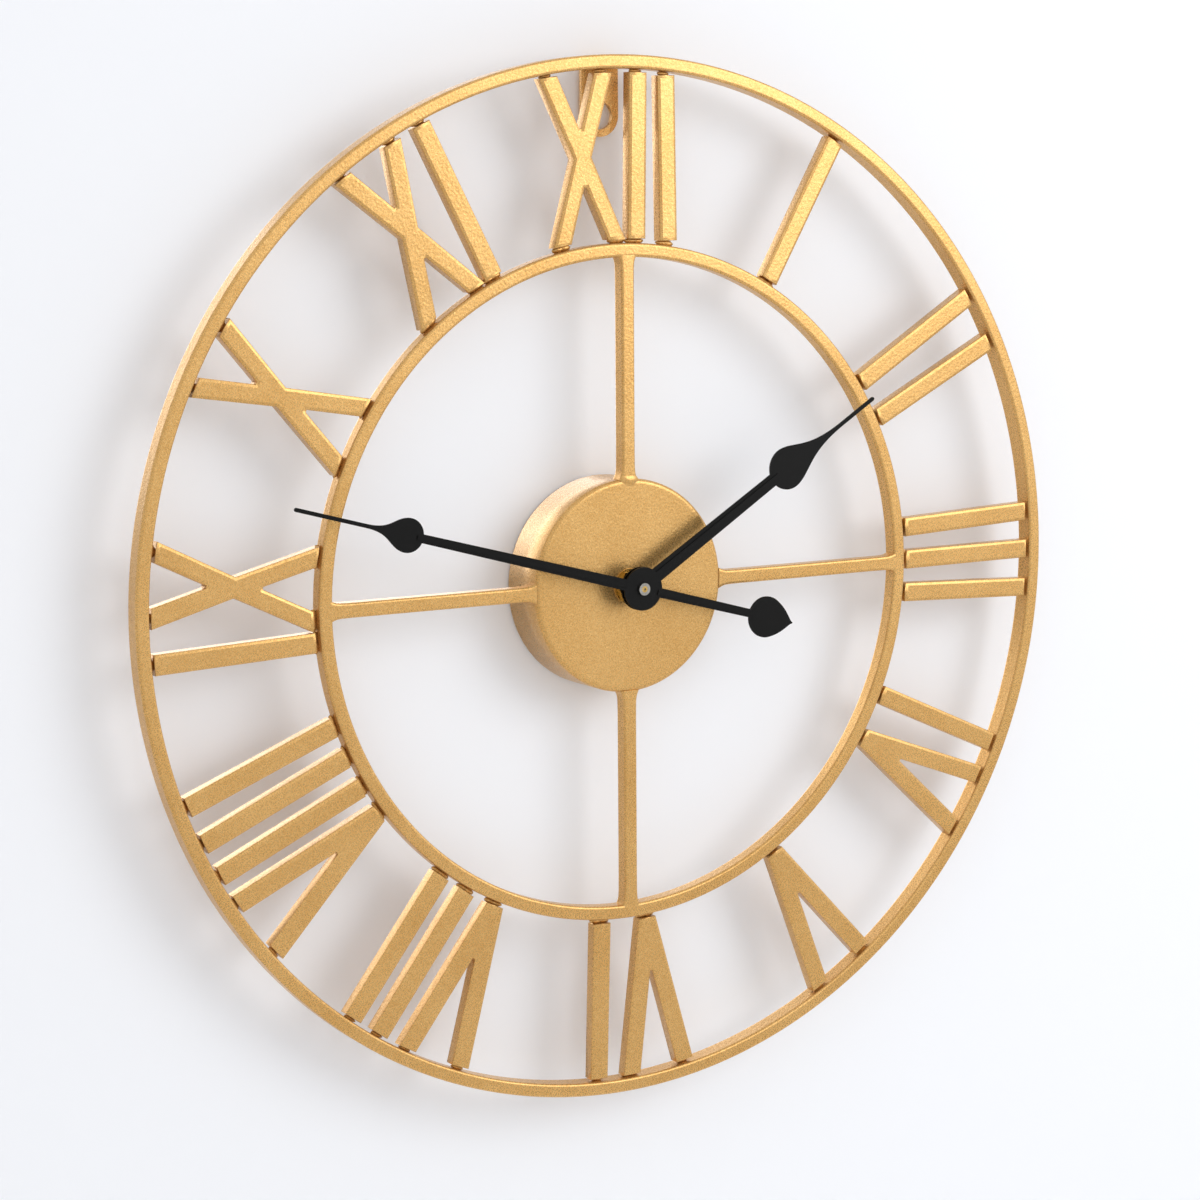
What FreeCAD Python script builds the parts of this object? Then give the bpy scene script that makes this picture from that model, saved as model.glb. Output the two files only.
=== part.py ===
"""Open-frame wall clock: two welded steel rings, pressed numerals, a drum with a quartz movement.

Frame: +Z up, the wall is the plane Y = 0 and the clock stands in front of it towards -Y.
The origin is the centre of the hanger hole on the wall plane. Every sub-part is drawn about
the dial centre, and its Placement lowers it by hang_drop. "Lift" is a distance from the wall.
"""
import FreeCAD, Part
import math
import os

import Sketcher

V = FreeCAD.Vector

# ---------------------------------------------------------------- driving dimensions (mm, deg)
SIZES = [
    ("dial_dia", 500.0, "outside diameter of the outer ring"),
    ("ring_face", 6.5, "outer ring: width seen from the front"),
    ("ring_deep", 10.0, "outer ring: depth"),
    ("inner_dia", 325.5, "outside diameter of the inner ring"),
    ("inner_face", 6.6, "inner ring: width seen from the front"),
    ("inner_deep", 8.0, "inner ring: depth"),
    ("ring_round", 1.2, "rounding of the ring edges"),
    ("drum_dia", 102.8, "outside diameter of the movement drum"),
    ("front_lift", 27.2, "front plane of drum, rings and spokes above the wall"),
    ("drum_wall", 1.0, "sheet thickness of the drum"),
    ("spoke_face", 6.9, "spoke: width seen from the front"),
    ("spoke_deep", 7.3, "spoke: depth"),
    ("bar_face", 9.45, "stroke width of a numeral"),
    ("press_deep", 6.0, "depth of a pressed numeral"),
    ("press_wall", 0.9, "sheet thickness of a pressed numeral"),
    ("press_round", 0.8, "rounding of the front edge of a numeral"),
    ("press_recess", 0.8, "numeral fronts stand this far behind the ring fronts"),
    ("outer_gap", 1.5, "gap between numerals and outer ring"),
    ("inner_gap", 2.0, "gap between numerals and inner ring"),
    ("v_spread", 40.0, "V: width over both arms"),
    ("x_spread", 38.8, "X: width over both arms"),
    ("tack_wide", 4.0, "width of a tack weld"),
    ("tack_deep", 2.6, "depth of a tack weld"),
    ("hang_below", 27.5, "hanger hole centre below the top of the outer ring"),
    ("strap_wide", 20.0, "hanger strap: width"),
    ("strap_thick", 2.0, "hanger strap: thickness"),
    ("hang_hole", 13.0, "hanger hole: diameter"),
    ("case_side", 56.0, "movement case: side of the square"),
    ("case_deep", 16.0, "movement case: depth"),
    ("case_wall", 1.5, "movement case: wall"),
    ("seal_thick", 1.0, "rubber washer between case and drum"),
    ("bush_dia", 8.0, "threaded centre bush: outside diameter"),
    ("bush_proud", 4.4, "centre bush: length in front of the drum"),
    ("nut_flats", 14.0, "hexagon nut on the bush: across flats"),
    ("nut_thick", 2.2, "hexagon nut: thickness"),
    ("washer_dia", 17.0, "plain washer under the nut"),
    ("washer_thick", 0.6, "plain washer: thickness"),
    ("hour_pipe", 5.0, "hour pipe: outside diameter"),
    ("minute_pipe", 3.4, "minute pipe: outside diameter"),
    ("minute_end", 3.0, "minute pipe: threaded end diameter"),
    ("arbor_dia", 1.2, "seconds arbor: diameter"),
    ("run_gap", 0.05, "radial running clearance"),
    ("hand_thick", 0.8, "hands: sheet thickness"),
    ("rib_proud", 0.45, "hands: height of the pressed rib"),
    ("hour_lift", 9.0, "back of the hour hand in front of the drum"),
    ("hand_space", 2.6, "back of hour hand to back of minute hand"),
    ("hub_dia", 20.8, "round hub of a hand"),
    ("hour_tip", 160.0, "hour hand: length from the centre"),
    ("hour_leaf", 99.3, "hour hand: leaf centre"),
    ("hour_leaf_dia", 20.8, "hour hand: leaf width"),
    ("hour_leaf_long", 38.0, "hour hand: leaf centre to thin tip"),
    ("hour_shaft", 7.6, "hour hand: shaft width at the hub"),
    ("minute_tip", 186.0, "minute hand: length from the centre"),
    ("minute_leaf", 128.5, "minute hand: leaf centre"),
    ("minute_leaf_dia", 16.0, "minute hand: leaf width"),
    ("minute_leaf_long", 21.0, "minute hand: leaf centre to thin tip"),
    ("minute_shaft", 5.6, "minute hand: shaft width at the hub"),
    ("tail_leaf", 72.5, "counterweight: centre"),
    ("tail_leaf_dia", 20.2, "counterweight: width"),
    ("tail_tip", 88.5, "counterweight: point"),
    ("tip_wide", 1.9, "hands: width of the thin tip"),
    ("hand_nut_dia", 5.9, "nut that holds the minute hand"),
    ("hand_nut_thick", 1.3, "nut that holds the minute hand: thickness"),
    ("works_gap", 12.0, "motion work: centre distance"),
    ("third_gap", 11.0, "second wheel to third wheel"),
    ("mid_gap", 10.8, "second wheel to intermediate wheel"),
    ("mid_angle", 20.0, "direction of the intermediate wheel above +X"),
    ("rotor_gap", 8.4, "intermediate wheel to rotor"),
    ("rotor_angle", 50.0, "direction from intermediate wheel to rotor above +X"),
    ("magnet_dia", 6.0, "rotor magnet: diameter"),
    ("cell_dia", 14.2, "battery cell: diameter"),
    ("cell_long", 50.5, "battery cell: length"),
    ("cell_drop", 18.7, "battery axis below the dial centre"),
    ("knob_dia", 9.0, "time-setting knob: diameter"),
    ("knob_proud", 3.0, "time-setting knob: height behind the case"),
    ("coil_dia", 5.6, "coil winding: diameter"),
    ("coil_x", 23.2, "coil axis to the right of the dial centre"),
    ("coil_low", 6.5, "coil: foot below the dial centre"),
    ("coil_high", 20.5, "coil: head above the dial centre"),
    ("core_dia", 2.8, "coil bobbin: core diameter"),
    ("flange_dia", 5.6, "coil bobbin: flange diameter"),
    ("flange_thick", 0.8, "coil bobbin: flange thickness"),
    ("stator_thick", 1.0, "stator: sheet thickness"),
    ("stator_arm", 4.0, "stator: width of the arms that hold the coil"),
    ("stator_reach", 4.6, "stator: half width round the rotor"),
    ("pole_gap", 0.6, "stator: gap round the rotor magnet"),
    ("board_thick", 0.8, "circuit board: thickness"),
    ("board_low", 4.0, "circuit board: lower edge above the dial centre"),
    ("board_right", 13.5, "circuit board: right edge, left of the dial centre"),
    ("parts_x", 20.0, "chip and crystal: left of the dial centre"),
    ("chip_z", 19.0, "chip: above the dial centre"),
    ("chip_dia", 6.0, "chip: diameter of its resin drop"),
    ("chip_high", 1.1, "chip: height of its resin drop"),
    ("crystal_z", 10.0, "quartz crystal: above the dial centre"),
    ("crystal_dia", 2.0, "quartz crystal: can diameter"),
    ("crystal_long", 6.2, "quartz crystal: can length"),
    ("knob_pin", 1.4, "motion work: diameter of the knob's front pivot"),
]
VALUE = {alias: number for alias, number, _ in SIZES}

# where the hands stand at rest, clockwise from twelve
HOUR_HAND_AT = 58.0
MINUTE_HAND_AT = 285.3

# each numeral as its strokes: letter, clockwise angle of its middle, lean (clockwise turn)
NUMERALS = [
    ("I", [("I", 29.5, 0.4)]),
    ("II", [("I", 56.5, 1.8), ("I", 63.2, -0.6)]),
    ("III", [("I", 84.6, 2.8), ("I", 89.7, 0.0), ("I", 94.9, -2.6)]),
    ("IV", [("I", 114.2, -0.1), ("V", 122.3, -0.8)]),
    ("V", [("V", 148.8, -0.9)]),
    ("VI", [("V", 176.4, -1.0), ("I", 184.8, -3.1)]),
    ("VII", [("V", 206.7, -0.8), ("I", 213.7, 3.3), ("I", 218.3, -1.0)]),
    ("VIII", [("V", 234.4, -0.8), ("I", 241.0, 4.2), ("I", 245.7, 0.3), ("I", 250.6, -2.4)]),
    ("IX", [("I", 265.7, 1.9), ("X", 274.1, 1.5)]),
    ("X", [("X", 298.7, 0.6)]),
    ("XI", [("X", 326.1, 1.4), ("I", 334.0, -1.7)]),
    ("XII", [("X", 353.4, 1.4), ("I", 1.75, -0.9), ("I", 6.4, -7.2)]),
]

# ---------------------------------------------------------------- derived expressions
RING_R = "size.dial_dia / 2"
RING_BORE = "(size.dial_dia / 2 - size.ring_face)"
STROKE_TOP = "(size.dial_dia / 2 - size.ring_face - size.outer_gap)"
INNER_R = "size.inner_dia / 2"
INNER_BORE = "(size.inner_dia / 2 - size.inner_face)"
STROKE_FOOT = "(size.inner_dia / 2 + size.inner_gap)"
STROKE_MID = "((%s + %s) / 2)" % (STROKE_TOP, STROKE_FOOT)
DRUM_R = "size.drum_dia / 2"
HANG_DROP = "(size.dial_dia / 2 - size.hang_below)"
FRONT = "size.front_lift"
PRESS_BACK = "(size.front_lift - size.press_recess - size.press_deep)"
CASE_FRONT = "(size.front_lift - size.drum_wall - size.seal_thick)"
CASE_REAR = "(%s - size.case_deep)" % CASE_FRONT
CASE_IN = "(%s - size.case_wall)" % CASE_FRONT
CASE_BACK_IN = "(%s + size.case_wall)" % CASE_REAR
CASE_SPLIT = "(%s + 7)" % CASE_REAR
HOUR_BACK = "(size.front_lift + size.hour_lift)"
MINUTE_BACK = "(size.front_lift + size.hour_lift + size.hand_space)"
MINUTE_FRONT = "(%s + size.hand_thick)" % MINUTE_BACK
MID_X = "size.mid_gap * cos(size.mid_angle * 1deg)"
MID_Z = "size.mid_gap * sin(size.mid_angle * 1deg)"
ROTOR_X = "(%s + size.rotor_gap * cos(size.rotor_angle * 1deg))" % MID_X
ROTOR_Z = "(%s + size.rotor_gap * sin(size.rotor_angle * 1deg))" % MID_Z
WORKS_X = "-size.works_gap"
PIVOT_R = "0.45"
ARBOR_R = "size.arbor_dia / 2"
WORKS_R = "1.0"
PLATE_LOW = "(%s - 4.3)" % CASE_IN
PLATE_HIGH = "(%s - 3.3)" % CASE_IN
ROTOR_LIFT = "(%s - 6.7)" % CASE_IN

document = FreeCAD.newDocument("wall_clock")
nodes = []


def make_sheet():
    """Write the driving dimensions into the spreadsheet named size."""
    sheet = document.addObject("Spreadsheet::Sheet", "size")
    for row, (alias, number, meaning) in enumerate(SIZES, start=1):
        sheet.set("A%d" % row, meaning)
        sheet.set("B%d" % row, repr(number))
        sheet.setAlias("B%d" % row, alias)
    document.recompute()
    return sheet


# ---------------------------------------------------------------- small building functions
def new_body(name, x="0", z="0", keep=True):
    """A PartDesign body whose own axis stands at (x, z) from the dial centre."""
    body = document.addObject("PartDesign::Body", name)
    body.Label = name
    place(body, x, z)
    if keep:
        nodes.append(body)
    return body


def place(thing, x="0", z="0"):
    thing.setExpression("Placement.Base.x", x)
    thing.setExpression("Placement.Base.z", "%s - %s" % (z, HANG_DROP))


def sketch_on(body, role, lift="0", turn=0.0):
    """A sketch on one of the body's own planes, moved along the plane's normal by lift."""
    plane = next(item for item in body.Origin.OriginFeatures if item.Role == role)
    sketch = body.newObject("Sketcher::SketchObject", body.Name + "_sketch")
    sketch.AttachmentSupport = [(plane, "")]
    sketch.MapMode = "FlatFace"
    sketch.AttachmentOffset = FreeCAD.Placement(V(), FreeCAD.Rotation(V(0, 0, 1), turn))
    sketch.setExpression("AttachmentOffset.Base.z", lift)
    return sketch


def bind(sketch, kind, place_args, start, expression):
    index = sketch.addConstraint(Sketcher.Constraint(kind, *place_args, start))
    sketch.setExpression("Constraints[%d]" % index, expression)


def polygon(sketch, points):
    """A closed outline; each point is a pair of expressions bound to the sheet."""
    count = len(points)
    first = sketch.GeometryCount
    turn = 2 * math.pi / count
    start = [V(10 * math.cos(turn * i), 10 * math.sin(turn * i), 0) for i in range(count)]
    sides = [Part.LineSegment(start[i], start[(i + 1) % count]) for i in range(count)]
    sketch.addGeometry(sides)
    for i in range(count):
        nxt = first + (i + 1) % count
        sketch.addConstraint(Sketcher.Constraint("Coincident", first + i, 2, nxt, 1))
    for i, (across, up) in enumerate(points):
        bind(sketch, "DistanceX", (-1, 1, first + i, 1), start[i].x, across)
        bind(sketch, "DistanceY", (-1, 1, first + i, 1), start[i].y, up)


def rectangle(sketch, low_x, low_z, high_x, high_z):
    polygon(sketch, [(low_x, low_z), (high_x, low_z), (high_x, high_z), (low_x, high_z)])


def circle(sketch, radius, x="0", z="0"):
    index = sketch.GeometryCount
    sketch.addGeometry(Part.Circle(V(1, 1, 0), V(0, 0, 1), 1))
    bind(sketch, "Radius", (index,), 1.0, radius)
    bind(sketch, "DistanceX", (-1, 1, index, 3), 1.0, x)
    bind(sketch, "DistanceY", (-1, 1, index, 3), 1.0, z)


def pad(body, sketch, length, midplane=False):
    feature = body.newObject("PartDesign::Pad", body.Name + "_pad")
    feature.Profile = sketch
    feature.Midplane = midplane
    feature.setExpression("Length", length)
    document.recompute()
    return feature


def pocket(body, sketch, depth=None, forward=False):
    """Cut a profile: right through both ways, or by depth; forward cuts away from the wall."""
    before = body.Shape.Volume
    feature = body.newObject("PartDesign::Pocket", body.Name + "_pocket")
    feature.Profile = sketch
    if depth is None:
        feature.Type = 1
        feature.Midplane = True
    else:
        feature.Reversed = forward
        feature.setExpression("Length", depth)
    document.recompute()
    if body.Shape.Volume >= before - 1e-6:
        raise RuntimeError("pocket cuts nothing in " + body.Label)
    return feature


def turned(body, profile):
    """Turn a closed outline of (radius, lift) pairs about the body's own Y axis."""
    sketch = sketch_on(body, "XY_Plane")
    polygon(sketch, [(radius, "-(%s)" % lift) for radius, lift in profile])
    feature = body.newObject("PartDesign::Revolution", body.Name + "_turned")
    feature.Profile = sketch
    feature.ReferenceAxis = (sketch, ["V_Axis"])
    feature.Angle = 360
    document.recompute()
    return feature


def tube(body, bore, radius, low, high):
    return turned(body, [(bore, low), (radius, low), (radius, high), (bore, high)])


def rod(body, radius, low, high):
    return tube(body, "0", radius, low, high)


def round_edges(body, radius, wanted):
    """Fillet the edges of the body's present shape for which wanted(edge) is true."""
    base = body.Tip
    names = ["Edge%d" % (i + 1) for i, edge in enumerate(base.Shape.Edges) if wanted(edge)]
    feature = body.newObject("PartDesign::Fillet", body.Name + "_round")
    feature.Base = (base, names)
    feature.setExpression("Radius", radius)
    document.recompute()
    return feature


def flat_at(level):
    """A test for edges that lie wholly in the plane Y = level."""
    def is_flat(edge):
        bounds = edge.BoundBox
        return abs(bounds.YMin - level) < 1e-4 and abs(bounds.YMax - level) < 1e-4
    return is_flat


def teeth(body, count, module, low, high, turn):
    """Straight-sided teeth on a wheel, the first one turned to the angle turn above +X."""
    pitch = "%s * %d / 2" % (module, count)
    root = "(%s - 1.1 * %s)" % (pitch, module)
    tip = "(%s + 0.65 * %s)" % (pitch, module)
    outline = [("%s - 0.3 * %s" % (root, module), "-0.75 * %s" % module), (tip, "-0.3 * %s" % module),
               (tip, "0.3 * %s" % module), ("%s - 0.3 * %s" % (root, module), "0.75 * %s" % module)]
    sketch = sketch_on(body, "XZ_Plane", low, turn)
    polygon(sketch, outline)
    tooth = pad(body, sketch, "(%s) - (%s)" % (high, low))
    ring = body.newObject("PartDesign::PolarPattern", body.Name + "_teeth")
    axis = next(item for item in body.Origin.OriginFeatures if item.Role == "Y_Axis")
    ring.Originals = [tooth]
    ring.Axis = (axis, [""])
    ring.Angle = 360
    ring.Occurrences = count
    body.Tip = ring
    document.recompute()


def wheel_disc(body, count, module, bore, low, high):
    """The wheel's plain disc, as large as the roots of its teeth."""
    root = "(%s * %d / 2 - 1.1 * %s)" % (module, count, module)
    return tube(body, bore, root, low, high)


# ---------------------------------------------------------------- welded frame
def make_ring(name, radius, bore, deep):
    """A flat bar bent to a hoop, its four long edges rounded."""
    body = new_body(name)
    tube(body, bore, radius, "%s - %s" % (FRONT, deep), FRONT)
    round_edges(body, "size.ring_round", lambda edge: True)
    return body


def make_spokes():
    """Four bars, on the hours three, six, nine and twelve."""
    for hour in (12, 3, 6, 9):
        name = "spoke_%d" % hour
        body = new_body(name + "_bar", keep=False)
        sketch = sketch_on(body, "XZ_Plane", "%s - size.spoke_deep" % FRONT, -30.0 * hour)
        rectangle(sketch, "-size.spoke_face / 2", "size.drum_dia / 4", "size.spoke_face / 2", INNER_R)
        pad(body, sketch, "size.spoke_deep")
        round_edges(body, "size.ring_round", flat_at(-VALUE["front_lift"]))
        gap = new_body(name + "_span", keep=False)
        tube(gap, DRUM_R, INNER_BORE, "0", FRONT)
        spoke = document.addObject("Part::Common", name)
        spoke.Label = name
        spoke.Base = body
        spoke.Tool = gap
        nodes.append(spoke)


def make_hanger():
    """A strap bent square: one leg welded behind the ring, one flat on the wall with the hole."""
    body = new_body("hanger_strap")
    leg_low = "(%s - size.ring_face / 2 - size.strap_thick / 2)" % RING_R
    leg_high = "(%s - size.ring_face / 2 + size.strap_thick / 2)" % RING_R
    ring_back = "-(%s - size.ring_deep)" % FRONT
    side = sketch_on(body, "YZ_Plane")
    polygon(side, [(ring_back, leg_low), (ring_back, leg_high), ("0", leg_high), ("0", HANG_DROP),
                   ("-size.strap_thick", HANG_DROP), ("-size.strap_thick", leg_low)])
    pad(body, side, "size.strap_wide", midplane=True)
    end = sketch_on(body, "XZ_Plane")
    circle(end, "size.strap_wide / 2", "0", HANG_DROP)
    pad(body, end, "size.strap_thick")
    hole = sketch_on(body, "XZ_Plane")
    circle(hole, "size.hang_hole / 2", "0", HANG_DROP)
    pocket(body, hole)


# ---------------------------------------------------------------- pressed numerals
def on_circle(radius, across):
    """The height at which a vertical line at distance across meets a circle."""
    return "sqrt((%s) * (%s) - (%s) * (%s))" % (radius, radius, across, across)


def outline_i():
    half = "size.bar_face / 2"
    return [("-" + half, STROKE_FOOT), (half, STROKE_FOOT), (half, on_circle(STROKE_TOP, half)),
            ("-" + half, on_circle(STROKE_TOP, half))]


def outline_v():
    """Two arms to a cut-off foot; the notch ends where the inner edges meet."""
    half = "size.bar_face / 2"
    wide = "size.v_spread / 2"
    inside = "(size.v_spread / 2 - size.bar_face)"
    tall = "(%s - %s)" % (STROKE_TOP, STROKE_FOOT)
    notch = "(%s + %s * size.bar_face / 2 / (size.v_spread / 2 - size.bar_face / 2))" % (STROKE_FOOT, tall)
    blunt = "0.6"
    return [("-" + half, STROKE_FOOT), (half, STROKE_FOOT), (wide, on_circle(STROKE_TOP, wide)),
            (inside, on_circle(STROKE_TOP, inside)), (blunt, notch + " + 3"), ("-" + blunt, notch + " + 3"),
            ("-" + inside, on_circle(STROKE_TOP, inside)), ("-" + wide, on_circle(STROKE_TOP, wide))]


def outline_x():
    """Two crossing bars with the same spread at head and foot."""
    half = "size.bar_face / 2"
    wide = "size.x_spread / 2"
    inside = "(size.x_spread / 2 - size.bar_face)"
    slope = "((%s - %s) / (size.x_spread - size.bar_face))" % (STROKE_TOP, STROKE_FOOT)
    rise = "(size.bar_face / 2 * %s)" % slope
    blunt = "0.6"
    high = "(%s + %s + 1.2)" % (STROKE_MID, rise)
    low = "(%s - %s - 1.2)" % (STROKE_MID, rise)
    right = [(half, STROKE_MID), (wide, on_circle(STROKE_TOP, wide)),
             (inside, on_circle(STROKE_TOP, inside)), (blunt, high)]
    left = [("-" + blunt, high), ("-" + inside, on_circle(STROKE_TOP, inside)),
            ("-" + wide, on_circle(STROKE_TOP, wide)), ("-" + half, STROKE_MID)]
    foot = [("-" + wide, on_circle(STROKE_FOOT, wide)), ("-" + inside, on_circle(STROKE_FOOT, inside)),
            ("-" + blunt, low), (blunt, low),
            (inside, on_circle(STROKE_FOOT, inside)), (wide, on_circle(STROKE_FOOT, wide))]
    return right + left + foot


def make_stroke(letter, outline):
    """One pressed letter at twelve o'clock: a shallow tray, open to the wall, front edge rounded."""
    body = document.addObject("PartDesign::Body", "stroke_" + letter)
    sketch = sketch_on(body, "XZ_Plane", PRESS_BACK)
    polygon(sketch, outline)
    block = pad(body, sketch, "size.press_deep")
    back = block.Shape.BoundBox.YMax
    open_face = ["Face%d" % (i + 1) for i, face in enumerate(block.Shape.Faces)
                 if face.BoundBox.YMin > back - 1e-4]
    tray = body.newObject("PartDesign::Thickness", "tray_" + letter)
    tray.Base = (block, open_face)
    tray.setExpression("Value", "size.press_wall")
    tray.Reversed = True
    tray.Join = 1
    document.recompute()
    round_edges(body, "size.press_round", flat_at(block.Shape.BoundBox.YMin))
    return body


def stroke_place(angle, lean, slide=0.0):
    """Where a letter drawn at twelve goes: turned about the dial centre and leant about its middle."""
    top = VALUE["dial_dia"] / 2 - VALUE["ring_face"] - VALUE["outer_gap"]
    foot = VALUE["inner_dia"] / 2 + VALUE["inner_gap"]
    middle = V(0, 0, (top + foot) / 2)
    axis = V(0, 1, 0)
    around = FreeCAD.Placement(V(), FreeCAD.Rotation(axis, angle))
    leaning = FreeCAD.Placement(V(), FreeCAD.Rotation(axis, lean), middle)
    sliding = FreeCAD.Placement(V(), FreeCAD.Rotation(axis, slide))
    return around * leaning * sliding


def link_to(source, name, placement):
    link = document.addObject("App::Link", name)
    link.LinkedObject = source
    link.Placement = placement
    return link


def make_numerals(strokes):
    """Twelve nodes, each a group of its pressed letters."""
    numerals = []
    for hour, (_, letters) in enumerate(NUMERALS, start=1):
        links = [link_to(strokes[letter], "letter_%d_%d" % (hour, i), stroke_place(angle, lean))
                 for i, (letter, angle, lean) in enumerate(letters)]
        numeral = document.addObject("Part::Compound", "numeral_%d" % hour)
        numeral.Label = "numeral_%d" % hour
        numeral.Links = links
        place(numeral)
        nodes.append(numeral)
        numerals.append(numeral)
    document.recompute()
    return numerals


def tack_angles(letter, radius, at_top):
    """Angles of a letter's welded ends from its middle, at the given radius."""
    if letter == "I" or (letter == "V" and not at_top):
        return [0.0]
    spread = VALUE["v_spread"] if letter == "V" else VALUE["x_spread"]
    turn = math.degrees(math.asin((spread - VALUE["bar_face"]) / 2 / radius))
    return [-turn, turn]


def make_tacks(name, low, high, radius, at_top, numerals):
    """Short weld beads that bridge the gap between a ring and the ends of the numerals."""
    bead = document.addObject("PartDesign::Body", name + "_bead")
    lift = "(%s + size.press_deep / 2 - size.tack_deep / 2)" % PRESS_BACK
    sketch = sketch_on(bead, "XZ_Plane", lift)
    rectangle(sketch, "-size.tack_wide / 2", low + " - 3", "size.tack_wide / 2", high + " + 3")
    pad(bead, sketch, "size.tack_deep")
    links = []
    for _, letters in NUMERALS:
        for letter, angle, lean in letters:
            for slide in tack_angles(letter, radius, at_top):
                placement = stroke_place(angle, lean, slide)
                links.append(link_to(bead, "%s_%d" % (name, len(links)), placement))
    beads = document.addObject("Part::Compound", name + "_beads")
    beads.Links = links
    place(beads)
    band = new_body(name + "_band", keep=False)
    tube(band, low, high, "0", FRONT)
    trimmed = document.addObject("Part::Common", name + "_trimmed")
    trimmed.Base = beads
    trimmed.Tool = band
    letters_all = document.addObject("Part::Compound", name + "_letters")
    letters_all.Links = numerals
    tacks = document.addObject("Part::Cut", name)
    tacks.Base = trimmed
    tacks.Tool = letters_all
    tacks.Label = name
    nodes.append(tacks)
    document.recompute()


# ---------------------------------------------------------------- drum and movement case
def make_drum():
    """A drawn steel cup, open to the wall, with the bush hole in its face."""
    body = new_body("movement_drum")
    bush = "size.bush_dia / 2"
    inside = "(size.drum_dia / 2 - size.drum_wall)"
    face_back = "(%s - size.drum_wall)" % FRONT
    turned(body, [(bush, face_back), (inside, face_back), (inside, "0"), (DRUM_R, "0"),
                  (DRUM_R, FRONT), (bush, FRONT)])
    front = -VALUE["front_lift"]
    outside = VALUE["drum_dia"] / 2
    at_front = flat_at(front)
    round_edges(body, "size.ring_round", lambda edge: at_front(edge) and edge.BoundBox.XMax > outside - 1)


def make_case():
    """Two square trays that meet in the middle: the front one carries the bush."""
    side = "size.case_side / 2"
    inside = "(size.case_side / 2 - size.case_wall)"
    front = new_body("front_case")
    block = sketch_on(front, "XZ_Plane", CASE_SPLIT)
    rectangle(block, "-" + side, "-" + side, side, side)
    circle(block, "size.bush_dia / 2")
    pad(front, block, "%s - %s" % (CASE_FRONT, CASE_SPLIT))
    corner_least = VALUE["case_deep"] / 3
    round_edges(front, "size.press_round",
                lambda edge: edge.BoundBox.YLength > corner_least and edge.Curve.TypeId == "Part::GeomLine")
    hollow = sketch_on(front, "XZ_Plane", CASE_SPLIT)
    rectangle(hollow, "-" + inside, "-" + inside, inside, inside)
    pocket(front, hollow, "%s - %s" % (CASE_IN, CASE_SPLIT), forward=True)
    pivot = sketch_on(front, "XZ_Plane", CASE_IN)
    circle(pivot, "size.knob_pin / 2 + size.run_gap", WORKS_X)
    pocket(front, pivot, "size.case_wall - 0.5", forward=True)

    rear = new_body("rear_cover")
    block = sketch_on(rear, "XZ_Plane", CASE_REAR)
    rectangle(block, "-" + side, "-" + side, side, side)
    pad(rear, block, "%s - %s" % (CASE_SPLIT, CASE_REAR))
    round_edges(rear, "size.press_round", lambda edge: edge.BoundBox.YLength > 5)
    hollow = sketch_on(rear, "XZ_Plane", CASE_BACK_IN)
    rectangle(hollow, "-" + inside, "-" + inside, inside, inside)
    pocket(rear, hollow, "%s - %s" % (CASE_SPLIT, CASE_BACK_IN), forward=True)
    window = sketch_on(rear, "XZ_Plane", CASE_REAR)
    rectangle(window, "-(size.cell_long / 2 + 0.6)", "-size.cell_drop - size.cell_dia / 2 - 0.4",
              "size.cell_long / 2 + 0.6", "-size.cell_drop + size.cell_dia / 2 + 0.4")
    for x, z, radius in (("0", "0", ARBOR_R), ("0", "size.third_gap", PIVOT_R), (MID_X, MID_Z, PIVOT_R),
                         (ROTOR_X, ROTOR_Z, PIVOT_R), (WORKS_X, "0", WORKS_R)):
        circle(window, radius + " + size.run_gap", x, z)
    pocket(rear, window, "size.case_wall", forward=True)


def make_middle_plate():
    """The plate between the going train and the motion work; it carries the front pivots."""
    body = new_body("middle_plate")
    sketch = sketch_on(body, "XZ_Plane", PLATE_LOW)
    inside = "(size.case_side / 2 - size.case_wall)"
    rectangle(sketch, "-" + inside, "-10.5", "size.coil_x - size.coil_dia / 2 - 0.9", inside)
    for x, z, radius in (("0", "0", "size.minute_pipe / 2"), ("0", "size.third_gap", PIVOT_R),
                         (MID_X, MID_Z, PIVOT_R), (ROTOR_X, ROTOR_Z, PIVOT_R), (WORKS_X, "0", WORKS_R)):
        circle(sketch, radius + " + size.run_gap", x, z)
    pad(body, sketch, "%s - %s" % (PLATE_HIGH, PLATE_LOW))


def make_bush_stack():
    """Bush, rubber washer behind the drum face, plain washer and nut in front of it."""
    bush = new_body("centre_bush")
    bush_end = FRONT + " + size.bush_proud"
    tube(bush, "size.hour_pipe / 2 + size.run_gap", "size.bush_dia / 2", CASE_IN, bush_end)
    seal = new_body("rubber_washer")
    tube(seal, "size.bush_dia / 2", "size.washer_dia / 2 + 2", CASE_FRONT, FRONT + " - size.drum_wall")
    washer = new_body("bush_washer")
    tube(washer, "size.bush_dia / 2", "size.washer_dia / 2", FRONT, FRONT + " + size.washer_thick")
    nut = new_body("bush_nut")
    sketch = sketch_on(nut, "XZ_Plane", FRONT + " + size.washer_thick")
    corner = "size.nut_flats / 2 / cos(30deg)"
    hexagon = [("%s * cos(%ddeg)" % (corner, 60 * i), "%s * sin(%ddeg)" % (corner, 60 * i)) for i in range(6)]
    polygon(sketch, hexagon)
    circle(sketch, "size.bush_dia / 2")
    pad(nut, sketch, "size.nut_thick")


# ---------------------------------------------------------------- wheels
def module_for(gap, first, second):
    return "(2 * %s / %d)" % (gap, first + second)


def tooth_turn(here, there, count, gap):
    """Angle above +X of a tooth (or, for gap, half a tooth off) that faces the meshing wheel."""
    facing = math.degrees(math.atan2(there[1] - here[1], there[0] - here[0]))
    return facing + (180.0 / count if gap else 0.0)


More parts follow.
